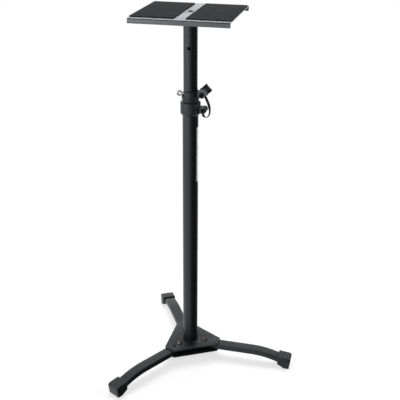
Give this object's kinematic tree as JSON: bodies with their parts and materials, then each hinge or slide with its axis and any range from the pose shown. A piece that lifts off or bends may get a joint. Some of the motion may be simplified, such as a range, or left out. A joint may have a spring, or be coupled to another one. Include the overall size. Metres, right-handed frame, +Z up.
{
  "type": "speaker stand",
  "caption": "Folding tripod stand with a telescopic pole, a clamp collar with knob and locking pin, and a square padded platform that carries a loudspeaker",
  "frame": {"origin": "on the floor, on the axis of the pole", "axes": "+Z up the pole, -Y the front of the platform, +X the side of the fixed right leg"},
  "size_m": [0.4526, 0.5161, 0.9615],
  "materials": {
    "black_coat": "satin black powder coat",
    "plate_coat": "grey textured powder coat",
    "mat_foam": "matt closed-cell foam",
    "foot_rubber": "matt moulded rubber",
    "collar_casting": "die casting, black coat",
    "zinc_steel": "dull zinc plated steel",
    "black_steel": "blackened steel",
    "pin_chrome": "bright plated steel",
    "knob_plastic": "moulded black plastic",
    "insert_brass": "turned brass",
    "strap_rubber": "flexible moulded strap",
    "inner_plastic": "moulded nylon",
    "plug_steel": "turned steel, welded in",
    "label_paper": "plain white film"
  },
  "bodies": {
    "base": {"hub_top_plate": "black_coat", "hub_bottom_plate": "black_coat", "leg_right": "black_coat", "foot_right": "foot_rubber", "leg_pivot_bolts": "zinc_steel", "leg_pivot_nuts": "zinc_steel", "hub_washers": "zinc_steel", "leg_pivot_sleeves": "plug_steel", "leg_detents": "black_steel", "lower_tube": "black_coat", "tube_base_plug": "plug_steel", "base_bolt": "zinc_steel", "base_washer": "zinc_steel", "blank_label": "label_paper", "clamp_collar": "collar_casting", "wiper_ring": "inner_plastic", "collar_screw": "black_steel", "collar_nut": "zinc_steel", "clamp_bolt": "black_steel", "strap_eyelet": "strap_rubber", "strap_tab": "strap_rubber", "tether_strap": "strap_rubber"},
    "front_leg": {"leg_front_left": "black_coat", "foot_front_left": "foot_rubber"},
    "rear_leg": {"leg_rear_left": "black_coat", "foot_rear_left": "foot_rubber"},
    "glide": {"pole_glide_bush": "inner_plastic"},
    "pole": {"upper_tube": "black_coat", "pole_top_plug": "plug_steel", "top_plate": "plate_coat", "plate_bolt": "black_steel", "grip_mat_left": "mat_foam", "grip_mat_right": "mat_foam"},
    "pin": {"locking_pin": "pin_chrome"},
    "knob_carriage": {"knob_washer": "zinc_steel"},
    "knob": {"clamp_knob": "knob_plastic", "knob_insert": "insert_brass"}
  },
  "joints": [
    {"name": "front_leg_fold", "type": "hinge", "parent": "base", "child": "front_leg", "pos_m": [-0.02144, -0.03553, 0.0358], "axis": [0, 0, 1], "range_deg": [0, 120]},
    {"name": "rear_leg_fold", "type": "hinge", "parent": "base", "child": "rear_leg", "pos_m": [-0.02006, 0.03633, 0.0358], "axis": [0, 0, 1], "range_deg": [-120, 0]},
    {"name": "pole_slide", "type": "slide", "parent": "base", "child": "glide", "axis": [0, 0, 1], "range_m": [0, 0.42]},
    {"name": "pole_swivel", "type": "hinge", "parent": "glide", "child": "pole", "pos_m": [0, 0, 0.2265], "axis": [0, 0, 1], "range_deg": [-45, 45]},
    {"name": "pin_pull", "type": "slide", "parent": "pole", "child": "pin", "axis": [-1, 0, 0], "range_m": [0, 0.06]},
    {"name": "knob_travel", "type": "slide", "parent": "base", "child": "knob_carriage", "axis": [0, 1, 0], "range_m": [0, 0.0021]},
    {"name": "knob_turn", "type": "hinge", "parent": "knob_carriage", "child": "knob", "pos_m": [0.031, 0.017, 0.759], "axis": [0, 1, 0], "range_deg": [0, 540]}
  ],
  "couplings": [
    {"joint": "knob_travel", "follows": "knob_turn", "m_per_rad": 0.00019894}
  ]
}
